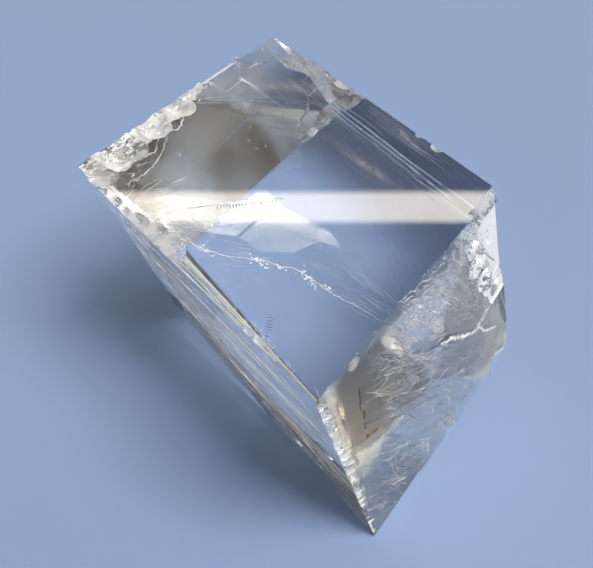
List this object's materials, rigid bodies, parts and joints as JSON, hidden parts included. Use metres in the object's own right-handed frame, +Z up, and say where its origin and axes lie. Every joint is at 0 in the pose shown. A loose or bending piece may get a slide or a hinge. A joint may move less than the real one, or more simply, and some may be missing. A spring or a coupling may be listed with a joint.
{
  "type": "calcite specimen",
  "caption": "Clear calcite cleavage crystal: a slanting rhombohedral block with stepped, rippled and chipped faces, lying on a flat cleavage face.",
  "frame": {"origin": "middle of the flat base face", "axes": "+X along the front cleavage edge, towards the right; +Y towards the rear face; +Z up from the base; the rippled front face looks towards -Y and the stepped left face towards -X"},
  "size_m": [0.0776, 0.0711, 0.0458],
  "materials": {
    "clear_calcite": "colourless and see-through, refractive index about 1.6, flat glossy cleavage faces with greyish white chipped edges",
    "iron_stain": "dull rust-brown speck on the front face"
  },
  "bodies": {
    "root": {"calcite_crystal": "clear_calcite"}
  },
  "joints": []
}
